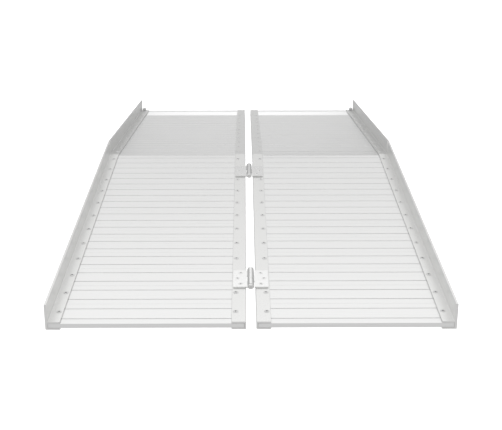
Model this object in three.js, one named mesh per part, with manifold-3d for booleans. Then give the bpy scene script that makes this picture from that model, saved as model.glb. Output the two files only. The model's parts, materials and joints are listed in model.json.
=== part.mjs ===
// A portable aluminium wheelchair ramp that folds lengthwise in two.
//
// Each half is a deck of interlocking extruded planks, held at both ends in C-shaped side rails.
// The outer rail carries a raised curb, and both rails bend down once, where the steep lower
// section meets the flatter upper one. A smooth lip plate closes the upper end. Two butt hinges on
// the lower section join the halves, so that they fold up, deck against deck.
//
// Millimetres, +X to the right, +Y from the lower end to the upper end, +Z up. The ramp stands on
// a flat floor on the ends of its rails, as a low arch. The origin is the middle of its footprint.

import * as THREE from "three";
import { mergeVertices } from "three/addons/utils/BufferGeometryUtils.js";
import Module from "manifold-3d";

const wasm = await Module();
wasm.setup();

// ---- driving dimensions -------------------------------------------------------------------

const OVERALL_WIDTH = 720;
const CENTRE_GAP = 17.5; // between the two halves
const BEND_ANGLE = THREE.MathUtils.degToRad(8.5);

const PLANK_PITCH = 78;
const LOWER_PLANKS = 12;
const UPPER_PLANKS = 10;
const LIP_LENGTH = 112;
const LIP_BEAD = 2.6; // radius of the rolled edge at the lip's end
const LIP_BEAD_LIFT = 0.7; // from the lip's tread to the middle of that roll
const FIT_GAP = 0.3; // clearance between neighbouring pieces

const CHANNEL_WIDTH = 26; // both rails, across the ramp
const CHANNEL_HEIGHT = 15.6;
const FLANGE = 3.3; // thickness of the channel's top and bottom
const INNER_WEB = 3;
const INNER_CORNER = 1.5; // radius
const CURB_WALL = 4.7;
const CURB_TOP = 49; // above the underside of the rail
const CURB_FILLET = 1;
const CURB_EDGE = 0.4; // chamfer along the top of the curb
const CURB_SLIT_TOP = 14; // width of the notch in the curb at the bend
const CURB_SLIT_FOOT = 2;

const HINGE_LENGTH = 74;
const HINGE_PLANKS_APART = 8;
const FIRST_HINGE = 173; // from the lower end to the middle of the first hinge
const LEAF_REACH = 33; // from the hinge axis to the leaf's outer edge
const LEAF_THICKNESS = 2.5;
const BARREL_RADIUS = 6.3;
const PIN_RADIUS = 3.2;
const AXIS_ABOVE_LEAF = 1;

const STUD_RADIUS = 3;
const HEX_RADIUS = 6.4; // across the corners, of the stud's head and of the cap nut
const STUD_FROM_END = 12;
const STUD_FROM_CURB = 7.7;

// ---- what follows from them ---------------------------------------------------------------

const LOWER_LENGTH = LOWER_PLANKS * PLANK_PITCH;
const UPPER_LENGTH = UPPER_PLANKS * PLANK_PITCH + LIP_LENGTH;
const OUTER_EDGE = OVERALL_WIDTH / 2;
const INNER_EDGE = CENTRE_GAP / 2;
const CURB_FACE = OUTER_EDGE - CURB_WALL;
const DECK_START = INNER_EDGE + INNER_WEB + FIT_GAP;
const DECK_END = CURB_FACE - FIT_GAP;
const DECK_UNDERSIDE = FLANGE + FIT_GAP;
const DECK_THICKNESS = CHANNEL_HEIGHT - 2 * DECK_UNDERSIDE;
const DECK_TOP = DECK_UNDERSIDE + DECK_THICKNESS;
// Slope of the lower section when both ends stand on the floor.
const LOWER_SLOPE = Math.atan2(
  UPPER_LENGTH * Math.sin(BEND_ANGLE),
  LOWER_LENGTH + UPPER_LENGTH * Math.cos(BEND_ANGLE),
);
const LEAF_UNDERSIDE = CHANNEL_HEIGHT + FIT_GAP;
const HINGE_AXIS = LEAF_UNDERSIDE + LEAF_THICKNESS + AXIS_ABOVE_LEAF; // above the rail's underside

// ---- materials ----------------------------------------------------------------------------

const metal = (color, roughness) =>
  new THREE.MeshStandardMaterial({ color, roughness, metalness: 0.9 });
const railMetal = metal(0xd2d3d1, 0.42);
const deckMetal = metal(0xdededd, 0.55);
const lipMetal = metal(0xf0f0ef, 0.22);
const hingeMetal = metal(0xd9d9d8, 0.3);
const fastenerMetal = metal(0x77787a, 0.45);

// ---- helpers ------------------------------------------------------------------------------

// A three.js geometry as a solid that can be joined and cut.
function solidOf(geometry) {
  const bare = new THREE.BufferGeometry();
  bare.setAttribute("position", geometry.getAttribute("position"));
  bare.setIndex(geometry.getIndex());
  const merged = mergeVertices(bare, 1e-4);
  return new wasm.Manifold(
    new wasm.Mesh({
      numProp: 3,
      vertProperties: new Float32Array(merged.getAttribute("position").array),
      triVerts: new Uint32Array(merged.getIndex().array),
    }),
  );
}

function geometryOf(solid) {
  const { vertProperties, triVerts } = solid.getMesh();
  const geometry = new THREE.BufferGeometry();
  geometry.setAttribute("position", new THREE.BufferAttribute(vertProperties, 3));
  geometry.setIndex(new THREE.BufferAttribute(triVerts, 1));
  geometry.computeVertexNormals();
  return geometry;
}

function namedMesh(name, geometry, material, parent) {
  const mesh = new THREE.Mesh(geometry, material);
  mesh.name = name;
  parent.add(mesh);
  return mesh;
}

function box(x0, x1, y0, y1, z0, z1) {
  return new THREE.BoxGeometry(x1 - x0, y1 - y0, z1 - z0).translate(
    (x0 + x1) / 2,
    (y0 + y1) / 2,
    (z0 + z1) / 2,
  );
}

// A cylinder along Y, between two places on it.
function barrel(radius, y0, y1, segments = 32) {
  return new THREE.CylinderGeometry(radius, radius, y1 - y0, segments).translate(
    0,
    (y0 + y1) / 2,
    0,
  );
}

// An upright cylinder, or a hexagonal prism with six segments, between two heights.
function upright(radius, z0, z1, segments) {
  return new THREE.CylinderGeometry(radius, radius, z1 - z0, segments)
    .rotateX(Math.PI / 2)
    .translate(0, 0, (z0 + z1) / 2);
}

// A section drawn as (along the ramp, up), run across the ramp from x0 to x1.
function acrossRamp(shape, x0, x1) {
  const across = new THREE.Matrix4().makeBasis(
    new THREE.Vector3(0, 1, 0),
    new THREE.Vector3(0, 0, 1),
    new THREE.Vector3(1, 0, 0),
  );
  return new THREE.ExtrudeGeometry(shape, { depth: x1 - x0, bevelEnabled: false })
    .applyMatrix4(across)
    .translate(x0, 0, 0);
}

// ---- side rails ---------------------------------------------------------------------------

function outline(points) {
  return new THREE.Shape(points.map(([x, y]) => new THREE.Vector2(x, y)));
}

// The outer rail's section, as (across, up): a channel open towards the deck, and the curb.
function outerRailSection() {
  const mouth = OUTER_EDGE - CHANNEL_WIDTH;
  const section = new THREE.Shape();
  section.moveTo(mouth, 0);
  section.lineTo(OUTER_EDGE, 0);
  section.lineTo(OUTER_EDGE, CURB_TOP - CURB_EDGE);
  section.lineTo(OUTER_EDGE - CURB_EDGE, CURB_TOP);
  section.lineTo(CURB_FACE + CURB_EDGE, CURB_TOP);
  section.lineTo(CURB_FACE, CURB_TOP - CURB_EDGE);
  section.lineTo(CURB_FACE, CHANNEL_HEIGHT + CURB_FILLET);
  section.absarc(
    CURB_FACE - CURB_FILLET,
    CHANNEL_HEIGHT + CURB_FILLET,
    CURB_FILLET,
    0,
    -Math.PI / 2,
    true,
  );
  section.lineTo(mouth, CHANNEL_HEIGHT);
  section.lineTo(mouth, CHANNEL_HEIGHT - FLANGE);
  section.lineTo(CURB_FACE, CHANNEL_HEIGHT - FLANGE);
  section.lineTo(CURB_FACE, FLANGE);
  section.lineTo(mouth, FLANGE);
  return section;
}

// The inner rail's section: a plain channel, open towards the deck, with rounded corners.
function innerRailSection() {
  const mouth = INNER_EDGE + CHANNEL_WIDTH;
  const web = INNER_EDGE + INNER_WEB;
  const [r, corner] = [INNER_CORNER, INNER_EDGE + INNER_CORNER];
  const section = new THREE.Shape();
  section.moveTo(corner, 0);
  section.lineTo(mouth, 0);
  section.lineTo(mouth, FLANGE);
  section.lineTo(web, FLANGE);
  section.lineTo(web, CHANNEL_HEIGHT - FLANGE);
  section.lineTo(mouth, CHANNEL_HEIGHT - FLANGE);
  section.lineTo(mouth, CHANNEL_HEIGHT);
  section.absarc(corner, CHANNEL_HEIGHT - r, r, Math.PI / 2, Math.PI, false);
  section.absarc(corner, r, r, Math.PI, 1.5 * Math.PI, false);
  return section;
}

// Runs a section along both parts of the ramp, mitred at the bend, in the lower section's frame.
function bentRail(section) {
  const points = section.extractPoints(4).shape;
  const mitre = Math.tan(BEND_ANGLE / 2);
  const [dy, dz] = [Math.cos(BEND_ANGLE), -Math.sin(BEND_ANGLE)];
  const stations = [
    (x, h) => [x, 0, h],
    (x, h) => [x, LOWER_LENGTH + h * mitre, h],
    (x, h) => [x, LOWER_LENGTH + UPPER_LENGTH * dy - h * dz, UPPER_LENGTH * dz + h * dy],
  ];
  const positions = stations.flatMap((place) => points.flatMap((p) => place(p.x, p.y)));
  const count = points.length;
  const last = (stations.length - 1) * count;
  const faces = [];
  for (let start = 0; start < last; start += count) {
    for (let i = 0; i < count; i++) {
      const a = start + i;
      const b = start + ((i + 1) % count);
      faces.push(a, a + count, b + count, a, b + count, b);
    }
  }
  for (const [i, j, k] of THREE.ShapeUtils.triangulateShape(points, [])) {
    faces.push(i, j, k);
    faces.push(last + k, last + j, last + i);
  }
  const geometry = new THREE.BufferGeometry();
  geometry.setAttribute("position", new THREE.Float32BufferAttribute(positions, 3));
  geometry.setIndex(faces);
  return geometry;
}

// The notch cut into the curb so that the rail can be bent: a wedge, open at the top.
function curbSlit() {
  const foot = CHANNEL_HEIGHT + CURB_FILLET + 1;
  const over = CURB_TOP + 5;
  const mitre = Math.tan(BEND_ANGLE / 2);
  const [low, high] = [LOWER_LENGTH + foot * mitre, LOWER_LENGTH + over * mitre];
  const wedge = outline([
    [low - CURB_SLIT_FOOT / 2, foot],
    [low + CURB_SLIT_FOOT / 2, foot],
    [high + CURB_SLIT_TOP / 2, over],
    [high - CURB_SLIT_TOP / 2, over],
  ]);
  return acrossRamp(wedge, CURB_FACE - 5, OUTER_EDGE + 5);
}

// The hole for the lip's stud, through the outer rail's top flange, in the lower section's frame.
function studHole() {
  return upright(STUD_RADIUS + FIT_GAP, CHANNEL_HEIGHT - FLANGE - 2, CHANNEL_HEIGHT + 2, 24)
    .translate(studAcross(), UPPER_LENGTH - STUD_FROM_END, 0)
    .rotateX(-BEND_ANGLE)
    .translate(0, LOWER_LENGTH, 0);
}

function studAcross() {
  return CURB_FACE - STUD_FROM_CURB;
}

function outerRail() {
  const rail = solidOf(bentRail(outerRailSection()));
  return geometryOf(rail.subtract(solidOf(curbSlit())).subtract(solidOf(studHole())));
}

// ---- deck ---------------------------------------------------------------------------------

// A hollow plank: two grooves in its tread, a tongue on its upper side, a slot on its lower side.
function plank(hasSlot, hasTongue) {
  const half = (PLANK_PITCH - FIT_GAP) / 2;
  const groove = PLANK_PITCH / 4;
  const grooveHalf = 0.9;
  const grooveDepth = 1.6;
  const reach = 3;
  const skin = 1.2;
  const rib = grooveHalf + skin; // half the width of the rib under each groove
  const top = DECK_THICKNESS;
  const middle = top / 2;
  const tongue = [
    [half, middle - 1.4],
    [half + reach, middle - 1],
    [half + reach, middle + 1],
    [half, middle + 1.4],
  ];
  const slot = [
    [-half, middle + 1.7],
    [-half + reach + FIT_GAP, middle + 1.3],
    [-half + reach + FIT_GAP, middle - 1.3],
    [-half, middle - 1.7],
  ];
  const cut = (at) => [
    [at + grooveHalf, top],
    [at + grooveHalf, top - grooveDepth],
    [at - grooveHalf, top - grooveDepth],
    [at - grooveHalf, top],
  ];
  const section = outline([
    [-half, 0],
    [half, 0],
    ...(hasTongue ? tongue : []),
    [half, top],
    ...cut(groove),
    ...cut(-groove),
    [-half, top],
    ...(hasSlot ? slot : []),
  ]);
  const chambers = [
    [-half + reach + FIT_GAP + skin, -groove - rib],
    [-groove + rib, groove - rib],
    [groove + rib, half - skin],
  ];
  let solid = solidOf(acrossRamp(section, DECK_START, DECK_END));
  for (const [from, to] of chambers) {
    const chamber = box(DECK_START - 1, DECK_END + 1, from, to, skin, top - skin);
    solid = solid.subtract(solidOf(chamber));
  }
  return geometryOf(solid).translate(0, 0, DECK_UNDERSIDE);
}

const plankShapes = {
  first: plank(false, true),
  middle: plank(true, true),
  last: plank(true, false),
};

function addPlanks(side, section, count, firstNumber) {
  for (let i = 0; i < count; i++) {
    const kind = i === 0 ? "first" : i === count - 1 ? "last" : "middle";
    const number = String(firstNumber + i).padStart(2, "0");
    const mesh = namedMesh(`${side}_plank_${number}`, plankShapes[kind], deckMetal, section);
    mesh.position.y = (i + 0.5) * PLANK_PITCH;
  }
}

// A sheet with both long edges turned down, that fills the upper end between the rails.
function lipPlate() {
  const sheet = 3;
  const crease = 0.8;
  const [start, end] = [UPPER_LENGTH - LIP_LENGTH + FIT_GAP, UPPER_LENGTH];
  const middle = (start + end) / 2;
  const section = outline([
    [start, DECK_UNDERSIDE],
    [start + sheet, DECK_UNDERSIDE],
    [start + sheet, DECK_TOP - sheet],
    [end - sheet, DECK_TOP - sheet],
    [end - sheet, DECK_UNDERSIDE],
    [end, DECK_UNDERSIDE],
    [end, DECK_TOP - 1],
    [end - 1, DECK_TOP],
    [middle + crease, DECK_TOP],
    [middle, DECK_TOP - crease],
    [middle - crease, DECK_TOP],
    [start, DECK_TOP],
  ]);
  const hole = upright(STUD_RADIUS + FIT_GAP, DECK_UNDERSIDE, DECK_TOP + 2, 24).translate(
    studAcross(),
    UPPER_LENGTH - STUD_FROM_END,
    0,
  );
  const bead = barrel(LIP_BEAD, 0, 1, 20)
    .rotateZ(-Math.PI / 2)
    .scale(OUTER_EDGE - INNER_EDGE - 2 * (CHANNEL_WIDTH + FIT_GAP), 1, 1)
    .translate(INNER_EDGE + CHANNEL_WIDTH + FIT_GAP, end - LIP_BEAD, DECK_TOP + LIP_BEAD_LIFT);
  const sheetSolid = solidOf(acrossRamp(section, DECK_START, DECK_END)).add(solidOf(bead));
  return geometryOf(sheetSolid.subtract(solidOf(hole)));
}

// ---- lip fasteners, each modelled upright about its own axis --------------------------------

function lipStud() {
  const headTop = DECK_TOP - 3 - FIT_GAP;
  const head = upright(HEX_RADIUS, headTop - 4, headTop, 6);
  const shank = upright(STUD_RADIUS, headTop - 1, CHANNEL_HEIGHT + 6, 24);
  return geometryOf(solidOf(head).add(solidOf(shank)));
}

function capNut() {
  const seat = CHANNEL_HEIGHT + FIT_GAP;
  const [hexTop, bore, domeRadius] = [seat + 5, seat + 6.5, 5.3];
  const dome = new THREE.SphereGeometry(domeRadius, 16, 10).translate(0, 0, hexTop);
  const nut = solidOf(upright(HEX_RADIUS, seat, hexTop, 6)).add(solidOf(dome));
  return geometryOf(nut.subtract(solidOf(upright(STUD_RADIUS + FIT_GAP, seat - 1, bore, 24))));
}

// ---- hinges: the axis lies along local Y, and the leaf reaches out along +X ----------------

// Where one leaf's knuckles are, as [from, to] along the axis.
const KNUCKLE = HINGE_LENGTH / 3;
const knucklePlaces = {
  outer: [
    [-HINGE_LENGTH / 2, -KNUCKLE / 2 - FIT_GAP],
    [KNUCKLE / 2 + FIT_GAP, HINGE_LENGTH / 2],
  ],
  middle: [[-KNUCKLE / 2, KNUCKLE / 2]],
};

// Three rivet holes in a zigzag, as [across, along]: the middle one is further from the barrel.
const leafHoles = [
  [19, -24],
  [25, 0],
  [19, 24],
];

function hingeLeaf(knuckles) {
  const [low, high] = [-AXIS_ABOVE_LEAF - LEAF_THICKNESS, -AXIS_ABOVE_LEAF];
  const inner = BARREL_RADIUS + 2.5 * FIT_GAP;
  const corner = 3;
  const end = HINGE_LENGTH / 2;
  const shape = new THREE.Shape();
  shape.moveTo(inner, -end);
  shape.lineTo(LEAF_REACH - corner, -end);
  shape.absarc(LEAF_REACH - corner, -end + corner, corner, -Math.PI / 2, 0, false);
  shape.lineTo(LEAF_REACH, end - corner);
  shape.absarc(LEAF_REACH - corner, end - corner, corner, 0, Math.PI / 2, false);
  shape.lineTo(inner, end);
  for (const [across, along] of leafHoles) {
    shape.holes.push(new THREE.Path().absarc(across, along, 2.6, 0, 2 * Math.PI, true));
  }
  const plate = new THREE.ExtrudeGeometry(shape, {
    depth: LEAF_THICKNESS,
    bevelEnabled: false,
    curveSegments: 5,
  }).translate(0, 0, low);
  let leaf = solidOf(plate);
  for (const [from, to] of knuckles) {
    leaf = leaf.add(solidOf(box(0, inner + 1, from, to, low, high)));
    leaf = leaf.add(solidOf(barrel(BARREL_RADIUS, from, to)));
  }
  return geometryOf(leaf.subtract(solidOf(barrel(PIN_RADIUS + FIT_GAP, -end - 5, end + 5))));
}

// A pin with a domed head at each end.
function hingePin() {
  const [head, rise, rings] = [5.5, 3.2, 5];
  const seat = HINGE_LENGTH / 2 + FIT_GAP;
  const half = [[PIN_RADIUS, seat]];
  for (let i = 0; i <= rings; i++) {
    const angle = (Math.PI / 2) * (i / rings);
    half.push([i === rings ? 0 : head * Math.cos(angle), seat + rise * Math.sin(angle)]);
  }
  const profile = [...half.map(([r, y]) => [r, -y]).reverse(), ...half];
  return new THREE.LatheGeometry(
    profile.map(([r, y]) => new THREE.Vector2(r, y)),
    24,
  );
}

function addHinge(name, along, leftSection, rightSection) {
  const place = (mesh) => mesh.position.set(0, along, HINGE_AXIS);
  place(
    namedMesh(`${name}_left_leaf`, hingeLeaf(knucklePlaces.outer), hingeMetal, leftSection),
  );
  place(
    namedMesh(`${name}_right_leaf`, hingeLeaf(knucklePlaces.middle), hingeMetal, rightSection),
  );
  place(namedMesh(`${name}_pin`, hingePin(), fastenerMetal, leftSection));
}

// ---- assembly -----------------------------------------------------------------------------

// One half, drawn as the right one. The left one is its mirror image.
function buildHalf(side) {
  const lower = new THREE.Group();
  lower.rotation.x = LOWER_SLOPE;
  lower.scale.x = side === "left" ? -1 : 1;
  const upper = new THREE.Group();
  upper.position.y = LOWER_LENGTH;
  upper.rotation.x = -BEND_ANGLE;
  lower.add(upper);

  namedMesh(`${side}_outer_rail`, outerRail(), railMetal, lower);
  namedMesh(`${side}_inner_rail`, bentRail(innerRailSection()), railMetal, lower);
  addPlanks(side, lower, LOWER_PLANKS, 1);
  addPlanks(side, upper, UPPER_PLANKS, LOWER_PLANKS + 1);
  namedMesh(`${side}_lip`, lipPlate(), lipMetal, upper);

  const stud = namedMesh(`${side}_lip_stud`, lipStud(), fastenerMetal, upper);
  const nut = namedMesh(`${side}_cap_nut`, capNut(), fastenerMetal, upper);
  for (const piece of [stud, nut]) {
    piece.position.set(studAcross(), UPPER_LENGTH - STUD_FROM_END, 0);
  }
  return lower;
}

const left = buildHalf("left");
const right = buildHalf("right");
addHinge("lower_hinge", FIRST_HINGE, left, right);
addHinge("upper_hinge", FIRST_HINGE + HINGE_PLANKS_APART * PLANK_PITCH, left, right);

const assembly = new THREE.Group();
assembly.add(left, right);
const extent = new THREE.Box3().setFromObject(assembly, true);
assembly.position.set(0, -(extent.min.y + extent.max.y) / 2, -extent.min.z);

const ramp = new THREE.Group();
ramp.add(assembly);

export default ramp;
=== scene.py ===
"""Looks of the portable folding wheelchair ramp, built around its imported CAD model.

The CAD holds the rails, planks, lips, hinges and their fasteners. This script gives each of them a
finish and rounded edges, adds the rivets, and sets the floor, the light and the camera.
All sizes are in metres. The ramp lies along Y: its lower section rises from -Y, and its upper
section falls away behind the bend.
"""

import json
import math

import bmesh
import bpy
from mathutils import Matrix, Vector


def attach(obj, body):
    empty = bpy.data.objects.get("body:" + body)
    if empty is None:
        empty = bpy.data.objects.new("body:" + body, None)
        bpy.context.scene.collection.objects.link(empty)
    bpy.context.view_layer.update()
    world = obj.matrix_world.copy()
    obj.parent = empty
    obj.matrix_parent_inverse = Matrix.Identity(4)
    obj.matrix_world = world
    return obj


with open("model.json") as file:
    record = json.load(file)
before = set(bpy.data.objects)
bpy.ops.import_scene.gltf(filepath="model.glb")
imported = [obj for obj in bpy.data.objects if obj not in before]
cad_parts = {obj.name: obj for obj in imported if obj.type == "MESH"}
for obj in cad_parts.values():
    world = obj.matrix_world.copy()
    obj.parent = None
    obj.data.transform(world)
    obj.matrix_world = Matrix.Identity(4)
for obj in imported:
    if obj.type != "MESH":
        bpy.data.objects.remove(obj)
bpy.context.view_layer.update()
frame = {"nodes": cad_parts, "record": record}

# ---- driving dimensions, as in the CAD ------------------------------------------------------

LOWER_PLANKS = 12
PLANKS = 22
RAIL_HEIGHT = 0.0156
RAIL_WIDTH = 0.026
LEAF_TOP_ABOVE_FLANGE = 0.0028
# Across from the ramp's middle, and along from the leaf's middle.
LEAF_HOLES = [(0.019, -0.024), (0.025, 0.0), (0.019, 0.024)]
SIDES = {"left": -1, "right": 1}
HINGES = ("lower_hinge", "upper_hinge")

mounts = {mount["name"]: mount for mount in frame["record"]["mounts"]}
ACROSS = Vector((1, 0, 0))


# ---- the ramp's two sections, each with its own direction and normal -------------------------


class Section:
    """One straight part of the ramp: `along` runs up it, and `up` stands on its deck."""

    def __init__(self, foot_mount):
        self.up = -Vector(foot_mount["axis"]).normalized()
        self.along = self.up.cross(ACROSS).normalized()
        self.underside = Vector(foot_mount["pos_m"]).dot(self.up)

    def point(self, across, along, height):
        """A point given by its distance across and along, and its height above the rails' underside."""
        return ACROSS * across + self.along * along + self.up * (self.underside + height)

    def turn(self):
        """Turns an object drawn with X across, Y along and Z up to lie on this section."""
        return Matrix((ACROSS, self.along, self.up)).transposed().to_4x4()


lower = Section(mounts["left_lower_foot"])
upper = Section(mounts["left_upper_foot"])


def reach(node, direction):
    """The lowest and highest place of a node's vertices along a direction."""
    places = [vertex.co.dot(direction) for vertex in frame["nodes"][node].data.vertices]
    return min(places), max(places)


# ---- materials ------------------------------------------------------------------------------

# Painted shade in corners, grooves and joints, made from ambient occlusion.
CORNER_SHADE_DISTANCE = 0.002
CORNER_SHADE_SAMPLES = 12
CORNER_SHADE_CLOSED, CORNER_SHADE_OPEN = 0.15, 0.75  # shares of open surroundings between which the painted corner shade fades out
FACING_SHADE_START, FACING_SHADE_FULL = 0.8, 0.95  # cosines between which painted shade comes onto a face that looks along a direction

# How many of each mark there are in a metre of metal.
DIE_LINES, DIE_LINE_CHANGES = 1500.0, 3.0  # side by side, and along a line
ROLLING_LINES, ROLLING_LINE_CHANGES = 900.0, 4.0
SATIN_CLOUDS = 7.0
SATIN_GRAINS = 2600.0
SHEET_CLOUDS = 9.0
SPANGLES = 420.0
PLATING_GRAINS = 3200.0

# How deep the marks are.
DIE_LINE_DEPTH = 6e-6
ROLLING_LINE_DEPTH = 8e-6
SATIN_GRAIN_DEPTH = 4e-6
SPANGLE_DEPTH = 2e-5
PLATING_GRAIN_DEPTH = 6e-6

SATIN_ROUGHNESS = 0.30


class Shader:
    """A material's node tree, with short calls for the nodes that the finishes share."""

    def __init__(self, name):
        self.material = bpy.data.materials.new(name)
        self.material.use_nodes = True
        self.tree = self.material.node_tree
        self.surface = self.tree.nodes["Principled BSDF"]
        coordinates = self.add("ShaderNodeTexCoord")
        self.place = coordinates.outputs["Object"]
        self.normal = coordinates.outputs["Normal"]

    def add(self, kind, **settings):
        node = self.tree.nodes.new(kind)
        for key, value in settings.items():
            setattr(node, key, value)
        return node

    def link(self, source, target):
        self.tree.links.new(source, target)

    def noise(self, per_metre, detail):
        """Noise whose grains per metre along X, Y and Z are given by `per_metre`."""
        mapping = self.add("ShaderNodeMapping")
        mapping.inputs["Scale"].default_value = per_metre
        self.link(self.place, mapping.inputs["Vector"])
        noise = self.add("ShaderNodeTexNoise")
        noise.inputs["Scale"].default_value = 1.0
        noise.inputs["Detail"].default_value = detail
        noise.inputs["Roughness"].default_value = 0.55
        self.link(mapping.outputs["Vector"], noise.inputs["Vector"])
        return noise.outputs["Fac"]

    def ranged(self, source, low, high, start=0.3, end=0.7):
        """Maps a source's `start` to `end` onto `low` to `high`. Noise lies mostly in 0.3 to 0.7."""
        node = self.add("ShaderNodeMapRange")
        node.inputs["From Min"].default_value = start
        node.inputs["From Max"].default_value = end
        node.inputs["To Min"].default_value = low
        node.inputs["To Max"].default_value = high
        self.link(source, node.inputs["Value"])
        return node.outputs["Result"]

    def varied(self, source, middle, spread):
        """A value that varies with noise by `spread` to both sides of `middle`."""
        return self.ranged(source, middle - spread, middle + spread)

    def sum(self, first, second):
        node = self.add("ShaderNodeMath", operation="ADD")
        self.link(first, node.inputs[0])
        self.link(second, node.inputs[1])
        return node.outputs["Value"]

    def product(self, first, second):
        node = self.add("ShaderNodeMath", operation="MULTIPLY")
        self.link(first, node.inputs[0])
        self.link(second, node.inputs[1])
        return node.outputs["Value"]

    def painted_corner_shade(self, darkest_shade):
        """Painted shade in grooves, joints and corners, from ambient occlusion: a factor of 1 in the
        open, and of the darkest shade deep inside.
        """
        corner = self.add("ShaderNodeAmbientOcclusion", samples=CORNER_SHADE_SAMPLES)
        corner.inputs["Distance"].default_value = CORNER_SHADE_DISTANCE
        return self.ranged(corner.outputs["AO"], darkest_shade, 1.0, start=CORNER_SHADE_CLOSED, end=CORNER_SHADE_OPEN)

    def painted_facing_shade(self, direction, darkest_shade):
        """Painted shade: a factor of the darkest shade on the faces that look along `direction` either
        way, and 1 elsewhere.
        """
        dot = self.add("ShaderNodeVectorMath", operation="DOT_PRODUCT")
        dot.inputs[1].default_value = direction
        self.link(self.normal, dot.inputs[0])
        size = self.add("ShaderNodeMath", operation="ABSOLUTE")
        self.link(dot.outputs["Value"], size.inputs[0])
        return self.ranged(size.outputs["Value"], 1.0, darkest_shade, start=FACING_SHADE_START, end=FACING_SHADE_FULL)

    def shaded(self, colour, factor):
        """The colour, made darker or lighter by a factor that varies over the surface."""
        scale = self.add("ShaderNodeVectorMath", operation="SCALE")
        scale.inputs[0].default_value = colour
        self.link(factor, scale.inputs["Scale"])
        return scale.outputs["Vector"]

    def bump(self, heights):
        """Chains bumps, given as (height source, depth in metres)."""
        normal = None
        for source, depth in heights:
            node = self.add("ShaderNodeBump")
            node.inputs["Strength"].default_value = 1.0
            node.inputs["Distance"].default_value = depth
            self.link(source, node.inputs["Height"])
            if normal:
                self.link(normal, node.inputs["Normal"])
            normal = node.outputs["Normal"]
        self.link(normal, self.surface.inputs["Normal"])

    def metal(self, colour, roughness, edge_tint=1.0):
        """Makes the surface a metal. `edge_tint` dims what it mirrors at a low angle."""
        self.link(colour, self.surface.inputs["Base Color"])
        self.link(roughness, self.surface.inputs["Roughness"])
        self.surface.inputs["Metallic"].default_value = 1.0
        self.surface.inputs["Specular Tint"].default_value = (edge_tint, edge_tint, edge_tint, 1)


def even(per_metre):
    """The same number of grains along X, Y and Z."""
    return (per_metre, per_metre, per_metre)


def grey(brightness, warmth=0.0):
    """A neutral metal colour, with a little less blue when warm."""
    return (brightness, brightness, brightness - warmth)


def extruded_aluminium(name, colour, edge_tint, lines_along, deepest_corner_shade):
    """Satin mill finish: fine die lines along the extrusion, faint clouds, and painted shade in the
    corners and grooves.
    """
    shader = Shader(name)
    per_x, per_y = DIE_LINES, DIE_LINE_CHANGES
    if lines_along == "x":
        per_x, per_y = DIE_LINE_CHANGES, DIE_LINES
    die_lines = shader.noise((per_x, per_y, DIE_LINES), detail=2.0)
    broad_lines = shader.noise((per_x / 3, per_y / 6, DIE_LINES / 6), detail=2.0)
    clouds = shader.noise(even(SATIN_CLOUDS), detail=4.0)
    grain = shader.noise(even(SATIN_GRAINS), detail=1.0)
    tone = shader.sum(
        shader.varied(clouds, middle=0.0, spread=0.006),
        shader.varied(broad_lines, middle=1.0, spread=0.006),
    )
    # Painted shade in the corners and grooves darkens the tone.
    tone = shader.product(tone, shader.painted_corner_shade(deepest_corner_shade))
    roughness = shader.sum(
        shader.varied(clouds, middle=SATIN_ROUGHNESS, spread=0.015),
        shader.varied(die_lines, middle=0.0, spread=0.03),
    )
    shader.metal(shader.shaded(colour, tone), roughness, edge_tint)
    shader.bump(
        [(broad_lines, DIE_LINE_DEPTH), (die_lines, DIE_LINE_DEPTH), (grain, SATIN_GRAIN_DEPTH)]
    )
    return shader.material


def smooth_sheet(name, colour, roughness):
    """Bright rolled sheet: smooth, with faint rolling lines across."""
    shader = Shader(name)
    rolling = shader.noise((ROLLING_LINE_CHANGES, ROLLING_LINES, ROLLING_LINES), detail=2.0)
    clouds = shader.noise(even(SHEET_CLOUDS), detail=3.0)
    tone = shader.ranged(clouds, 0.985, 1.01)
    shader.metal(shader.shaded(colour, tone), shader.varied(rolling, roughness, spread=0.03))
    shader.bump([(rolling, ROLLING_LINE_DEPTH)])
    return shader.material


def plated_steel(name, colour, roughness, edge_tint=1.0, mottle=0.05, front_shade=1.0, deepest_corner_shade=1.0):
    """Plated metal: fine spangle, a slight mottle, painted shade in the corners, and a front factor that
    paints shade on the faces that look along Y.
    """
    shader = Shader(name)
    spangle = shader.noise(even(SPANGLES), detail=3.0)
    grain = shader.noise(even(PLATING_GRAINS), detail=1.0)
    # Painted shade in the corners darkens the tone.
    tone = shader.product(shader.varied(spangle, 1.0, mottle), shader.painted_corner_shade(deepest_corner_shade))
    # Painted shade on the faces that look along Y.
    tone = shader.product(tone, shader.painted_facing_shade((0, 1, 0), front_shade))
    roughness = shader.varied(spangle, roughness, spread=0.05)
    shader.metal(shader.shaded(colour, tone), roughness, edge_tint)
    shader.bump([(spangle, SPANGLE_DEPTH), (grain, PLATING_GRAIN_DEPTH)])
    return shader.material


# The rail, deck and hinge finishes get painted shade in their corners and grooves, darkest on the deck.
rail_finish = extruded_aluminium(
    "rail aluminium", grey(0.88, warmth=0.01), edge_tint=0.825, lines_along="y", deepest_corner_shade=0.92
)
deck_finish = extruded_aluminium(
    "deck aluminium", grey(0.91, warmth=0.005), edge_tint=0.89, lines_along="x", deepest_corner_shade=0.45
)
lip_finish = smooth_sheet("lip sheet", grey(0.97), roughness=0.12)
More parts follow.
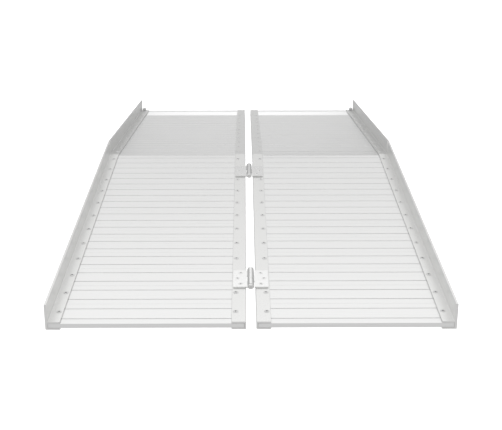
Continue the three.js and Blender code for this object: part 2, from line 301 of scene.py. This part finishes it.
# The hinge's plating also gets painted shade on its faces that look along Y.
hinge_finish = plated_steel(
    "bright zinc", grey(0.97, warmth=0.005), roughness=0.11, edge_tint=0.72, front_shade=0.9, deepest_corner_shade=0.65
)
fastener_finish = plated_steel("dull zinc", grey(0.70), roughness=0.40, mottle=0.1)
pin_finish = plated_steel("pin steel", grey(0.86, warmth=0.005), roughness=0.45)
rivet_finish = plated_steel("rivet aluminium", grey(0.74, warmth=0.005), roughness=0.40)
leaf_rivet_finish = plated_steel("leaf rivet aluminium", grey(0.88, warmth=0.005), roughness=0.34)
leaf_mandrel_finish = plated_steel("leaf mandrel steel", grey(0.5), roughness=0.5)
# The plank rivets' hollow is painted near black: partly the steel mandrel's own colour, partly painted
# shade in the hollow.
mandrel_and_hollow_shade_finish = plated_steel("mandrel steel", grey(0.16), roughness=0.5)


# ---- finish and rounded edges on the CAD pieces ----------------------------------------------

FINISHES = {
    "rail": rail_finish,
    "deck": deck_finish,
    "lip": lip_finish,
    "hinge": hinge_finish,
    "fastener": fastener_finish,
}
EDGE_RADIUS = {"rail": 0.0005, "deck": 0.0003, "lip": 0.0003, "hinge": 0.0003, "fastener": 0.0003}
EDGE_SEGMENTS = 3
FLAT_SIDED = ("rail", "deck")
SHARP_EDGE = math.radians(32)
SAME_PLANE = math.radians(0.5)
SAME_PLACE = 1e-6


def round_edges(piece, radius, flat_sided):
    """Rounds the sharp edges. Flat-sided pieces keep every bend crisp; the others have round parts."""
    for polygon in piece.data.polygons:
        polygon.use_smooth = not flat_sided
    weld = piece.modifiers.new("Weld", "WELD")
    weld.merge_threshold = SAME_PLACE
    if flat_sided:
        whole = piece.modifiers.new("Whole faces", "DECIMATE")
        whole.decimate_type = "DISSOLVE"
        whole.angle_limit = SAME_PLANE
    bevel = piece.modifiers.new("Bevel", "BEVEL")
    bevel.width = radius
    bevel.segments = EDGE_SEGMENTS
    bevel.limit_method = "ANGLE"
    bevel.angle_limit = SHARP_EDGE
    bevel.use_clamp_overlap = True
    if not flat_sided:
        normals = piece.modifiers.new("Normals", "WEIGHTED_NORMAL")
        normals.keep_sharp = False


def finish_cad_pieces():
    for part in frame["record"]["subparts"]:
        piece = frame["nodes"][part["node"]]
        slot = part["material_slot"]
        is_pin = part["node"].endswith("hinge_pin")
        piece.data.materials.clear()
        piece.data.materials.append(pin_finish if is_pin else FINISHES[slot])
        round_edges(piece, EDGE_RADIUS[slot], slot in FLAT_SIDED)


# ---- rivets ---------------------------------------------------------------------------------

RIVET_SIDES = 20
RIVET_DOME_STEPS = 5
RIVET_DOME_END = math.radians(74)
RIVET_RIM_SHARE = 0.18  # of the head's height
MANDREL_RADIUS = 0.0018
MANDREL_DEPTH = 0.0009
MANDREL_TAPER = 0.9

RIVET_FROM_RAIL_EDGE = 0.007
LIP_RIVET_FROM_END = 0.012
PLANK_RIVET = {"radius": 0.0048, "height": 0.0012, "finishes": (rivet_finish, mandrel_and_hollow_shade_finish)}
LEAF_RIVET = {"radius": 0.0042, "height": 0.0006, "finishes": (leaf_rivet_finish, leaf_mandrel_finish)}


def rivet_profile(radius, height):
    """Half-section of a pop rivet's head, as (radius, height): a dome, and the hollow in its middle."""
    rim = RIVET_RIM_SHARE * height
    profile = [(radius, 0.0), (radius, rim)]
    for step in range(1, RIVET_DOME_STEPS + 1):
        angle = RIVET_DOME_END * step / RIVET_DOME_STEPS
        profile.append((radius * math.cos(angle), rim + (height - rim) * math.sin(angle)))
    top = profile[-1][1]
    profile.append((MANDREL_RADIUS, top))
    profile.append((MANDREL_RADIUS * MANDREL_TAPER, top - MANDREL_DEPTH))
    return profile


def add_ring(mesh, radius, height, sides, place=Matrix()):
    """Adds a level ring of vertices about Z to a bmesh, and moves it to a place."""
    ring = []
    for side in range(sides):
        angle = 2 * math.pi * side / sides
        point = Vector((radius * math.cos(angle), radius * math.sin(angle), height))
        ring.append(mesh.verts.new(place @ point))
    return ring


def add_band(mesh, low, high):
    """Adds the smooth faces between two rings of vertices, and returns them."""
    faces = []
    for side in range(len(low)):
        after = (side + 1) % len(low)
        face = mesh.faces.new((low[side], low[after], high[after], high[side]))
        face.smooth = True
        faces.append(face)
    return faces


def add_rivet(mesh, place, profile):
    """Adds one rivet head, turned about its own Z, to a bmesh. The hollow takes the mandrel's finish."""
    rings = [add_ring(mesh, radius, height, RIVET_SIDES, place) for radius, height in profile]
    bands = [add_band(mesh, low, high) for low, high in zip(rings, rings[1:])]
    # The hollow's walls and floor take the second finish: the mandrel's colour, with painted shade on
    # the plank rivets.
    for face in bands[-1]:
        face.material_index = 1
    mesh.faces.new(rings[-1]).material_index = 1
    mesh.faces.new(reversed(rings[0]))


def object_from(mesh, name):
    """Turns a bmesh into an object of the scene."""
    data = bpy.data.meshes.new(name)
    mesh.to_mesh(data)
    mesh.free()
    piece = bpy.data.objects.new(name, data)
    bpy.context.scene.collection.objects.link(piece)
    return piece


def add_rivet_group(name, side, places, kind):
    """One object that holds the rivets at all the given places, and rides on its side's half."""
    mesh = bmesh.new()
    for place in places:
        add_rivet(mesh, place, rivet_profile(kind["radius"], kind["height"]))
    piece = object_from(mesh, name)
    for finish in kind["finishes"]:
        piece.data.materials.append(finish)
    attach(piece, f"{side}_half")


def seat(section, across, along, height=RAIL_HEIGHT):
    """The place of a rivet on a section: on the rail's flange, unless another height is given."""
    return Matrix.Translation(section.point(across, along, height)) @ section.turn()


def plank_middles(side):
    """For each plank: its section, and the place of its middle along that section."""
    pitch = reach(f"{side}_plank_03", lower.along)[0] - reach(f"{side}_plank_02", lower.along)[0]
    middles = []
    for number in range(1, PLANKS + 1):
        section = lower if number <= LOWER_PLANKS else upper
        foot = reach(f"{side}_plank_{number:02d}", section.along)[0]
        middles.append((section, foot + pitch / 2))
    return middles


def under_a_leaf(side, section, along):
    """Whether a hinge leaf covers a place on the inner rail."""
    if section is upper:
        return False
    for hinge in HINGES:
        low, high = reach(f"{hinge}_{side}_leaf", lower.along)
        if low - PLANK_RIVET["radius"] < along < high + PLANK_RIVET["radius"]:
            return True
    return False


def add_plank_rivets(side, sign):
    outer_edge = reach(f"{side}_outer_rail", ACROSS * sign)[0]
    inner_edge = reach(f"{side}_inner_rail", ACROSS * sign)[1]
    middles = plank_middles(side)
    bare = [middle for middle in middles if not under_a_leaf(side, *middle)]
    columns = [
        (f"{side}_outer_rivets", outer_edge + RIVET_FROM_RAIL_EDGE, middles),
        (f"{side}_inner_rivets", inner_edge - RIVET_FROM_RAIL_EDGE, bare),
    ]
    for name, across, spots in columns:
        places = [seat(section, sign * across, along) for section, along in spots]
        add_rivet_group(name, side, places, PLANK_RIVET)


def add_hinge_rivets(side, sign):
    for hinge in HINGES:
        low, high = reach(f"{hinge}_{side}_leaf", lower.along)
        middle = (low + high) / 2
        height = RAIL_HEIGHT + LEAF_TOP_ABOVE_FLANGE
        places = [seat(lower, sign * across, middle + along, height) for across, along in LEAF_HOLES]
        add_rivet_group(f"{hinge}_{side}_rivets", side, places, LEAF_RIVET)


def add_lip_rivet(side, sign):
    inner_edge = reach(f"{side}_inner_rail", ACROSS * sign)[1]
    end = reach(f"{side}_lip", upper.along)[1]
    place = seat(upper, sign * (inner_edge - RAIL_WIDTH / 2), end - LIP_RIVET_FROM_END)
    add_rivet_group(f"{side}_lip_rivet", side, [place], PLANK_RIVET)


# ---- floor ----------------------------------------------------------------------------------

SWEEP_SIDES = 96
SWEEP_PROFILE = [(0.5, 0.0), (40.0, 0.0), (44.0, 0.8), (47.0, 3.0), (49.0, 7.0), (50.0, 30.0)]
FLOOR_WHITE = 0.94
FLOOR_ROUGHNESS = 0.9
FLOOR_GLOW = 0.8


def add_floor():
    """A round white floor that sweeps up into a wall far away; reflections look through it."""
    mesh = bmesh.new()
    rings = [add_ring(mesh, radius, height, SWEEP_SIDES) for radius, height in SWEEP_PROFILE]
    mesh.faces.new(rings[0])
    for low, high in zip(rings, rings[1:]):
        add_band(mesh, high, low)
    floor = object_from(mesh, "floor")
    shader = Shader("floor paint")
    shader.surface.inputs["Base Color"].default_value = (FLOOR_WHITE, FLOOR_WHITE, FLOOR_WHITE, 1)
    shader.surface.inputs["Roughness"].default_value = FLOOR_ROUGHNESS
    shader.surface.inputs["Specular IOR Level"].default_value = 0.0
    shader.surface.inputs["Emission Color"].default_value = (1, 1, 1, 1)
    shader.surface.inputs["Emission Strength"].default_value = FLOOR_GLOW
    floor.data.materials.append(shader.material)
    floor.visible_glossy = False


# ---- light ----------------------------------------------------------------------------------

# Radiance of the studio by the height of a direction: -1 straight down, 0 level, 1 straight up.
SKY_STOPS = [
    (-1.0, 0.66),
    (-0.01, 0.66),
    (0.02, 0.53),
    (0.22, 0.55),
    (0.34, 0.67),
    (0.47, 0.99),
    (0.56, 1.17),
    (0.68, 1.16),
    (0.82, 0.80),
    (1.00, 0.42),
]
SIDE_DIMMING = 0.14
BACKDROP_TOP = 0.13
BACKDROP_FADE_START = 0.6  # of its height
BACKDROP_HALF_WIDTH = 0.16
BACKDROP_RADIANCE = 0.55
SUN_ENERGY = 0.3
SUN_ANGLE = math.radians(60)
SUN_TURN = (math.radians(10), math.radians(-8), 0)


def ranged(tree, source, span, onto):
    """Maps a source's values over a span smoothly onto another span."""
    node = tree.nodes.new("ShaderNodeMapRange")
    node.interpolation_type = "SMOOTHSTEP"
    node.inputs["From Min"].default_value = span[0]
    node.inputs["From Max"].default_value = span[1]
    node.inputs["To Min"].default_value = onto[0]
    node.inputs["To Max"].default_value = onto[1]
    tree.links.new(source, node.inputs["Value"])
    return node.outputs["Result"]


def combined(tree, operation, first, second):
    node = tree.nodes.new("ShaderNodeMath")
    node.operation = operation
    tree.links.new(first, node.inputs[0])
    tree.links.new(second, node.inputs[1])
    return node.outputs["Value"]


def product(tree, first, *others):
    for other in others:
        first = combined(tree, "MULTIPLY", first, other)
    return first


def sky_by_height(tree, up):
    """The studio's radiance, which depends on the height of a direction only."""
    height = tree.nodes.new("ShaderNodeMapRange")
    height.inputs["From Min"].default_value = -1.0
    tree.links.new(up, height.inputs["Value"])
    ramp = tree.nodes.new("ShaderNodeValToRGB")
    tree.links.new(height.outputs["Result"], ramp.inputs["Fac"])
    stops = ramp.color_ramp.elements
    while len(stops) < len(SKY_STOPS):
        stops.new(0.5)
    for stop, (place_up, radiance) in zip(stops, SKY_STOPS):
        stop.position = (place_up + 1) / 2
        stop.color = (radiance, radiance, radiance, 1)
    return ramp.outputs["Color"]


def add_sky():
    """A soft studio: bright overhead, dimmer at the sides, and a small lit backdrop behind the ramp."""
    world = bpy.data.worlds.new("studio")
    bpy.context.scene.world = world
    world.use_nodes = True
    tree = world.node_tree
    place = tree.nodes.new("ShaderNodeTexCoord")
    split = tree.nodes.new("ShaderNodeSeparateXYZ")
    tree.links.new(place.outputs["Generated"], split.inputs["Vector"])
    across, along, up = split.outputs["X"], split.outputs["Y"], split.outputs["Z"]

    aside = product(tree, across, across)
    dimmer = ranged(tree, aside, span=(0.0, 1.0), onto=(1.0, 1.0 - SIDE_DIMMING))
    studio = product(tree, sky_by_height(tree, up), dimmer)
    top = (BACKDROP_TOP * BACKDROP_FADE_START, BACKDROP_TOP)
    near_middle = ranged(tree, aside, span=(0.0, BACKDROP_HALF_WIDTH**2), onto=(1.0, 0.0))
    low_down = ranged(tree, up, span=top, onto=(1.0, 0.0))
    above_floor = ranged(tree, up, span=(-0.01, 0.01), onto=(0.0, BACKDROP_RADIANCE))
    behind = ranged(tree, along, span=(0.0, 0.1), onto=(0.0, 1.0))
    backdrop = product(tree, near_middle, low_down, above_floor, behind)
    background = tree.nodes["Background"]
    background.inputs["Color"].default_value = (1, 1, 1, 1)
    tree.links.new(combined(tree, "ADD", studio, backdrop), background.inputs["Strength"])


def add_sun():
    light = bpy.data.lights.new("key", "SUN")
    light.energy = SUN_ENERGY
    light.angle = SUN_ANGLE
    sun = bpy.data.objects.new("key", light)
    sun.rotation_euler = SUN_TURN
    bpy.context.scene.collection.objects.link(sun)


# ---- camera ---------------------------------------------------------------------------------

CAMERA_LENS, CAMERA_SENSOR = 76.03, 36.0  # in millimetres
CAMERA_FROM_NEAR_END = Vector((-0.0119, -1.7098, 0.7265))
CAMERA_LOOKS_DOWN = math.radians(17.28)
CAMERA_TURNED_RIGHT = math.radians(0.38)


def add_camera():
    """Behind the lower end and above it, and looking down along the ramp."""
    near_end = reach("left_outer_rail", lower.along)[0]
    data = bpy.data.cameras.new("camera")
    data.sensor_width = CAMERA_SENSOR
    data.lens = CAMERA_LENS
    camera = bpy.data.objects.new("camera", data)
    camera.location = lower.point(0, near_end, RAIL_HEIGHT) + CAMERA_FROM_NEAR_END
    camera.rotation_euler = (math.pi / 2 - CAMERA_LOOKS_DOWN, 0, -CAMERA_TURNED_RIGHT)
    bpy.context.scene.collection.objects.link(camera)
    bpy.context.scene.camera = camera


# ---- assembly -------------------------------------------------------------------------------

finish_cad_pieces()
for side, sign in SIDES.items():
    add_plank_rivets(side, sign)
    add_hinge_rivets(side, sign)
    add_lip_rivet(side, sign)
add_floor()
add_sky()
add_sun()
add_camera()
bpy.context.scene.view_settings.view_transform = "Standard"
